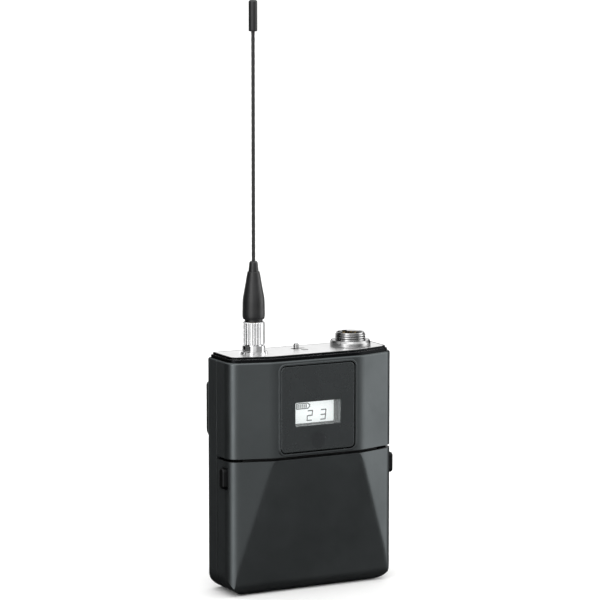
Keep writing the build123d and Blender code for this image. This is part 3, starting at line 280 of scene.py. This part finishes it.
def make_finishes():
    """One finish for every material slot that the record names."""
    round_lay = (1.0, 1.0, 14.0)
    long_lay = (14.0, 1.0, 1.0)
    made = {
        "case_paint": painted("case_paint", CHARCOAL, WORN, 0.33, 0.30, 0.12 * MM, creases=True),
        "panel_gloss": painted("panel_gloss", PANEL_DARK, WORN, 0.26, 0.10, 0.10 * MM),
        "clear_window": clear_plastic(),
        "ir_filter": painted("ir_filter", (0.060, 0.064, 0.067), WORN, 0.20, 0.04, 0.1 * MM),
        "recess_grey": moulded("recess_grey", (0.014, 0.015, 0.015), 0.80, 3000.0, 0.25, 1.15, ior=1.25),
        "lcd_glass": display_glass(),
        # black frame: the light edge colour and wide share paint a thin highlight along its step edges
        "frame_black": painted("frame_black", JET, (0.30, 0.30, 0.31), 0.28, 0.15, 0.2 * MM, rim=0.35,
                               wear_and_highlight_radius=0.16 * MM, wear_and_highlight_share=(0.20, 0.45)),
        # the plate and nickel finishes paint shade into their grooves and hollows, out to the reach given
        # last
        "plate_satin": metal("plate_satin", (0.77, 0.77, 0.77), 0.34, long_lay, 0.30, 0.93,
                             edge=0.12 * MM, groove_shade_reach=1.2 * MM),
        "bright_nickel": metal("bright_nickel", (0.66, 0.66, 0.665), 0.08, round_lay, 0.06, 0.8,
                               edge=0.06 * MM, groove_shade_reach=0.5 * MM),
        "satin_nickel": metal("satin_nickel", (0.36, 0.36, 0.36), 0.18, round_lay, 0.18, 0.8,
                              edge=0.08 * MM, groove_shade_reach=0.5 * MM),
        "gold_contact": metal("gold_contact", (0.82, 0.58, 0.25), 0.20, round_lay, 0.10),
        "white_insulator": moulded("white_insulator", (0.72, 0.71, 0.68), 0.42, 2200.0, 0.15, 1.05),
        "black_insulator": moulded("black_insulator", (0.012, 0.012, 0.012), 0.45),
        "boot_rubber": moulded("boot_rubber", (0.0055, 0.0056, 0.0060), 0.40, 2800.0, 0.30, 1.7,
                               0.3 * MM),
        "whip_black": moulded("whip_black", (0.0060, 0.0060, 0.0062), 0.38, 4200.0, 0.30, 1.6,
                              0.05 * MM),
        "latch_black": painted("latch_black", (0.016, 0.0165, 0.017), WORN, 0.36, 0.40, 0.3 * MM),
        "lamp_lens": moulded("lamp_lens", (0.020, 0.022, 0.021), 0.12, 1500.0, 0.05, 1.2),
        "board_green": circuit_board(),
        "shield_tin": metal("shield_tin", (0.70, 0.70, 0.68), 0.32, long_lay, 0.20, 0.90),
        "switch_black": moulded("switch_black", (0.010, 0.010, 0.010), 0.50),
        "button_grey": moulded("button_grey", (0.090, 0.095, 0.098), 0.48, 2200.0, 0.30, 1.2, 0.3 * MM),
        "deck_black": moulded("deck_black", (0.012, 0.0125, 0.013), 0.52, 2000.0, 0.45),
        "tray_black": moulded("tray_black", (0.010, 0.0105, 0.011), 0.55, 2000.0, 0.45),
        "spring_nickel": metal("spring_nickel", (0.72, 0.70, 0.66), 0.20, round_lay, 0.12),
        "cell_wrap": cell_wrap(),
        "pad_foam": foam(),
        "screw_black": metal("screw_black", (0.045, 0.045, 0.047), 0.34, round_lay, 0.20, 0.80),
        "clip_black": painted("clip_black", (0.030, 0.032, 0.033), WORN, 0.38, 0.35, 0.3 * MM),
        "pin_steel": metal("pin_steel", (0.60, 0.60, 0.60), 0.22, long_lay, 0.15),
    }
    return {slot: g.material for slot, g in made.items()}


finishes = make_finishes()
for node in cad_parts.values():
    for index, slot in enumerate(node.data.materials):
        node.data.materials[index] = finishes[slot.name.split(".")[0]]


def new_piece(name, mesh, slot, body):
    """Links a finished bmesh as a piece that rides on a CAD body and takes a slot's finish."""
    data = bpy.data.meshes.new(name)
    mesh.normal_update()
    mesh.to_mesh(data)
    mesh.free()
    piece = bpy.data.objects.new(name, data)
    bpy.context.scene.collection.objects.link(piece)
    data.materials.append(finishes[slot])
    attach(piece, body)
    return piece


def strip(mesh, points, width, y, depth):
    """A thin bar in an XZ plane along a line of points, raised towards -Y from y by depth."""
    half = width / 2
    for (x0, z0), (x1, z1) in zip(points, points[1:]):
        run = Vector((x1 - x0, z1 - z0)).normalized() * half
        side = Vector((-run.y, run.x))
        outline = [
            (x0 - run.x + side.x, z0 - run.y + side.y),
            (x0 - run.x - side.x, z0 - run.y - side.y),
            (x1 + run.x - side.x, z1 + run.y - side.y),
            (x1 + run.x + side.x, z1 + run.y + side.y),
        ]
        slab(mesh, outline, y, depth)


def slab(mesh, outline, y, depth):
    """A closed slab with the given XZ outline, its back on plane y and its face depth in front of it."""
    back = [mesh.verts.new((x, y, z)) for x, z in outline]
    face = [mesh.verts.new((x, y - depth, z)) for x, z in outline]
    mesh.faces.new(face)
    mesh.faces.new(back[::-1])
    for k in range(len(outline)):
        n = (k + 1) % len(outline)
        mesh.faces.new((back[k], back[n], face[n], face[k]))
    bmesh.ops.recalc_face_normals(mesh, faces=mesh.faces)


# ---- display read-out: a battery gauge and two seven-segment digits ----------------------------
LCD_RISE = 0.03 * MM
DIGIT_W = 1.9 * MM
DIGIT_H = 3.5 * MM
DIGIT_Z = 61.35 * MM
DIGIT_X = (-1.65 * MM, 3.75 * MM)
DIGIT_LEAN = 0.10
SEGMENT_W = 0.40 * MM
SEGMENTS = {2: "abged", 3: "abgcd"}
SEGMENT_GAP = 0.07  # left out at each end, as a share of the segment
GAUGE_X = (-5.85 * MM, -1.35 * MM)
GAUGE_Z = (65.75 * MM, 67.65 * MM)
GAUGE_LINE = 0.34 * MM
GAUGE_TIP = (0.75 * MM, 0.35 * MM)  # reach and half-width of the gauge's cap
GAUGE_BARS = 5
BAR_W = 0.42 * MM
BAR_INSET = 0.5 * MM


def make_readout():
    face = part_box("lcd_module")[0].y
    ends = {
        "a": ((0, 1), (1, 1)),
        "b": ((1, 1), (1, 0.5)),
        "c": ((1, 0.5), (1, 0)),
        "d": ((0, 0), (1, 0)),
        "e": ((0, 0.5), (0, 0)),
        "g": ((0, 0.5), (1, 0.5)),
    }
    mesh = bmesh.new()
    for digit, left in zip((2, 3), DIGIT_X):
        for letter in SEGMENTS[digit]:
            a, b = (Vector(p) for p in ends[letter])
            line = []
            for p in (a.lerp(b, SEGMENT_GAP), b.lerp(a, SEGMENT_GAP)):
                height = p.y * DIGIT_H
                line.append((left + p.x * DIGIT_W + DIGIT_LEAN * height, DIGIT_Z + height))
            strip(mesh, line, SEGMENT_W, face, LCD_RISE)
    # gauge: a case with a blunt cap, and bars in it
    left, right = GAUGE_X
    foot, head = GAUGE_Z
    middle = (foot + head) / 2
    tip = right + GAUGE_TIP[0]
    outline = [
        (left, foot),
        (right, foot),
        (tip, middle - GAUGE_TIP[1]),
        (tip, middle + GAUGE_TIP[1]),
        (right, head),
        (left, head),
        (left, foot),
    ]
    strip(mesh, outline, GAUGE_LINE, face, LCD_RISE)
    for k in range(GAUGE_BARS):
        x = left + (0.64 + 0.80 * k) * MM
        strip(mesh, [(x, foot + BAR_INSET), (x, head - BAR_INSET)], BAR_W, face, LCD_RISE)
    new_piece("lcd_readout", mesh, "switch_black", "case")


# ---- whip: two wires laid up in a sleeve, which shows as a slow twist -------------------------
WHIP_R = 0.65 * MM
TWIST_PITCH = 5.2 * MM
TWIST_DEPTH = 0.07
WHIP_RINGS = 560
WHIP_SIDES = 20


def make_whip():
    low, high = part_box("antenna_whip")
    x, y = (low.x + high.x) / 2, (low.y + high.y) / 2
    mesh = bmesh.new()
    rings = []
    for k in range(WHIP_RINGS + 1):
        z = low.z + (high.z - low.z) * k / WHIP_RINGS
        turn = 2 * pi * (z - low.z) / TWIST_PITCH
        ring = []
        for n in range(WHIP_SIDES):
            angle = 2 * pi * n / WHIP_SIDES
            r = WHIP_R * (1 - TWIST_DEPTH * (0.5 - 0.5 * cos(2 * (angle - turn))) ** 1.5)
            ring.append(mesh.verts.new((x + r * cos(angle), y + r * sin(angle), z)))
        rings.append(ring)
    for a, b in zip(rings, rings[1:]):
        for n in range(WHIP_SIDES):
            m = (n + 1) % WHIP_SIDES
            mesh.faces.new((a[n], a[m], b[m], b[n])).smooth = True
    mesh.faces.new(rings[0][::-1])
    mesh.faces.new(rings[-1])
    whip = new_piece("antenna_whip_twisted", mesh, "whip_black", "antenna")
    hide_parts("antenna_whip")


# ---- marks on the menu buttons ---------------------------------------------------------------
MARK_RISE = 0.06 * MM
MARK_SIZE = 1.0 * MM
MARK_LINE = 0.35 * MM


def make_button_marks():
    s = MARK_SIZE
    shapes = {
        "button_up": [[(-s, -0.6 * s), (s, -0.6 * s), (0, 0.8 * s)]],
        "button_down": [[(-s, 0.6 * s), (0, -0.8 * s), (s, 0.6 * s)]],
    }
    arm = 0.7 * s
    lines = {
        "button_exit": [[(-arm, -arm), (arm, arm)], [(-arm, arm), (arm, -arm)]],
        "button_enter": [[(-0.9 * s, 0.0), (-0.2 * s, -0.7 * s), (0.9 * s, 0.7 * s)]],
    }
    for button in ("button_exit", "button_down", "button_up", "button_enter"):
        low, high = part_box(button)
        x, z = (low.x + high.x) / 2, (low.z + high.z) / 2
        mesh = bmesh.new()
        for outline in shapes.get(button, ()):
            slab(mesh, [(x + u, z + v) for u, v in outline], low.y, MARK_RISE)
        for line in lines.get(button, ()):
            strip(mesh, [(x + u, z + v) for u, v in line], MARK_LINE, low.y, MARK_RISE)
        new_piece(button + "_mark", mesh, "white_insulator", button)


make_readout()
make_whip()
make_button_marks()


# ---- floor, lights, camera -------------------------------------------------------------------
FLOOR_SIZE = 40.0
FLOOR_COLOUR = (0.86, 0.86, 0.855)


def make_floor():
    mesh = bpy.data.meshes.new("floor")
    half = FLOOR_SIZE / 2
    low = cad_low.z
    corners = [(-half, -half, low), (half, -half, low), (half, half, low), (-half, half, low)]
    mesh.from_pydata(corners, [], [(0, 1, 2, 3)])
    floor = bpy.data.objects.new("floor", mesh)
    bpy.context.scene.collection.objects.link(floor)
    g = Graph("floor_paper")
    g.set(Base_Color=FLOOR_COLOUR, Roughness=0.75)
    g.set(Normal=g.bump(g.noise(60.0, 3.0), 0.05, 0.2 * MM))
    mesh.materials.append(g.material)
    floor.visible_glossy = False


def around(azimuth, distance, height):
    """A point round the object: azimuth 0 is in front, and positive is to the object's right."""
    a = radians(azimuth)
    return Vector((distance * sin(a), -distance * cos(a), height))


def softbox(name, azimuth, distance, height, width, tall, radiance, aim=0.05):
    data = bpy.data.lights.new(name, "AREA")
    data.shape = "RECTANGLE"
    data.size = width
    data.size_y = tall
    data.energy = radiance * pi * width * tall
    lamp = bpy.data.objects.new(name, data)
    lamp.location = around(azimuth, distance, height)
    toward = Vector((0.0, 0.0, aim)) - lamp.location
    lamp.rotation_euler = toward.to_track_quat("-Z", "Y").to_euler()
    lamp.visible_camera = False
    bpy.context.scene.collection.objects.link(lamp)


# Radiance round the object, by azimuth in degrees: what polished and satin surfaces mirror near the
# horizon. The floor is matt paper that gives them no mirror image, so below the horizon they see a
# dark studio with lit panels.
STUDIO = (
    (-180, 1.00), (-162, 0.34), (-150, 0.10), (-134, 0.00), (-90, 0.00), (-76, 1.2), (-60, 4.4),
    (-44, 2.6), (-28, 1.05), (-8, 1.00), (10, 0.66), (27, 0.36), (42, 0.70), (56, 2.8),
    (74, 3.4), (96, 0.7), (118, 0.05), (136, 0.05), (152, 1.05), (180, 1.00),
)
CEILING = 1.75
GROUND = 0.004
GROUND_FADE = (-0.44, -0.12)  # heights of the view direction where the ground gives way to the panels
SKY_FADE = (0.42, 0.78)  # and where the panels give way to the ceiling


def make_studio():
    world = bpy.data.worlds.new("studio")
    world.use_nodes = True
    bpy.context.scene.world = world
    tree = world.node_tree

    def put(kind, inputs, **settings):
        node = tree.nodes.new("ShaderNode" + kind)
        for key, value in settings.items():
            setattr(node, key, value)
        for key, value in inputs.items():
            if isinstance(value, bpy.types.NodeSocket):
                tree.links.new(value, node.inputs[key])
            else:
                node.inputs[key].default_value = value
        return node.outputs[0]

    split = tree.nodes.new("ShaderNodeSeparateXYZ")
    tree.links.new(tree.nodes.new("ShaderNodeTexCoord").outputs["Generated"], split.inputs[0])
    forward = put("Math", {0: split.outputs["Y"], 1: -1.0}, operation="MULTIPLY")
    angle = put("Math", {0: split.outputs["X"], 1: forward}, operation="ARCTAN2")
    place = put("MapRange", {"Value": angle, "From Min": -pi, "From Max": pi})
    ramp = tree.nodes.new("ShaderNodeValToRGB")
    ramp.color_ramp.interpolation = "EASE"
    stops = ramp.color_ramp.elements
    stops.remove(stops[-1])
    top = max(level for _, level in STUDIO)
    for index, (azimuth, level) in enumerate(STUDIO):
        stop = stops[0] if index == 0 else stops.new((azimuth + 180) / 360)
        stop.position = (azimuth + 180) / 360
        stop.color = (level / top, level / top, level / top, 1.0)
    tree.links.new(place, ramp.inputs["Fac"])
    gain = {"Fac": 1.0, "Color1": ramp.outputs["Color"], "Color2": (top, top, top, 1.0)}
    around_it = put("MixRGB", gain, blend_type="MULTIPLY")
    height = split.outputs["Z"]
    # the lit panels fade out towards the ground, and an even ceiling takes over above them
    fade = {"Value": height, "From Min": GROUND_FADE[0], "From Max": GROUND_FADE[1]}
    ground = put("MapRange", fade, interpolation_type="SMOOTHSTEP")
    lower = put("MixRGB", {"Fac": ground, "Color1": (GROUND, GROUND, GROUND, 1.0), "Color2": around_it})
    fade = {"Value": height, "From Min": SKY_FADE[0], "From Max": SKY_FADE[1]}
    sky = put("MapRange", fade, interpolation_type="SMOOTHSTEP")
    both = put("MixRGB", {"Fac": sky, "Color1": lower, "Color2": (CEILING, CEILING, CEILING, 1.0)})
    tree.links.new(both, tree.nodes["Background"].inputs["Color"])
    tree.nodes["Background"].inputs["Strength"].default_value = 1.0
    bpy.context.scene.view_settings.view_transform = "Standard"


def make_camera():
    forward = Vector((sin(CAMERA_AZIMUTH), cos(CAMERA_AZIMUTH), 0.0))
    right = Vector((cos(CAMERA_AZIMUTH), -sin(CAMERA_AZIMUTH), 0.0))
    data = bpy.data.cameras.new("camera")
    data.lens = CAMERA_LENS
    data.sensor_width = SENSOR
    data.clip_end = 60.0
    camera = bpy.data.objects.new("camera", data)
    camera.location = forward * -CAMERA_DISTANCE + right * CAMERA_OFFSET
    camera.location.z = CAMERA_HEIGHT
    look = forward * cos(CAMERA_PITCH) - Vector((0.0, 0.0, sin(CAMERA_PITCH)))
    camera.rotation_euler = look.to_track_quat("-Z", "Y").to_euler()
    bpy.context.scene.collection.objects.link(camera)
    bpy.context.scene.camera = camera


make_floor()
make_studio()
softbox("top_box", -30, 0.55, 0.95, 0.60, 0.60, 1.2)
make_camera()
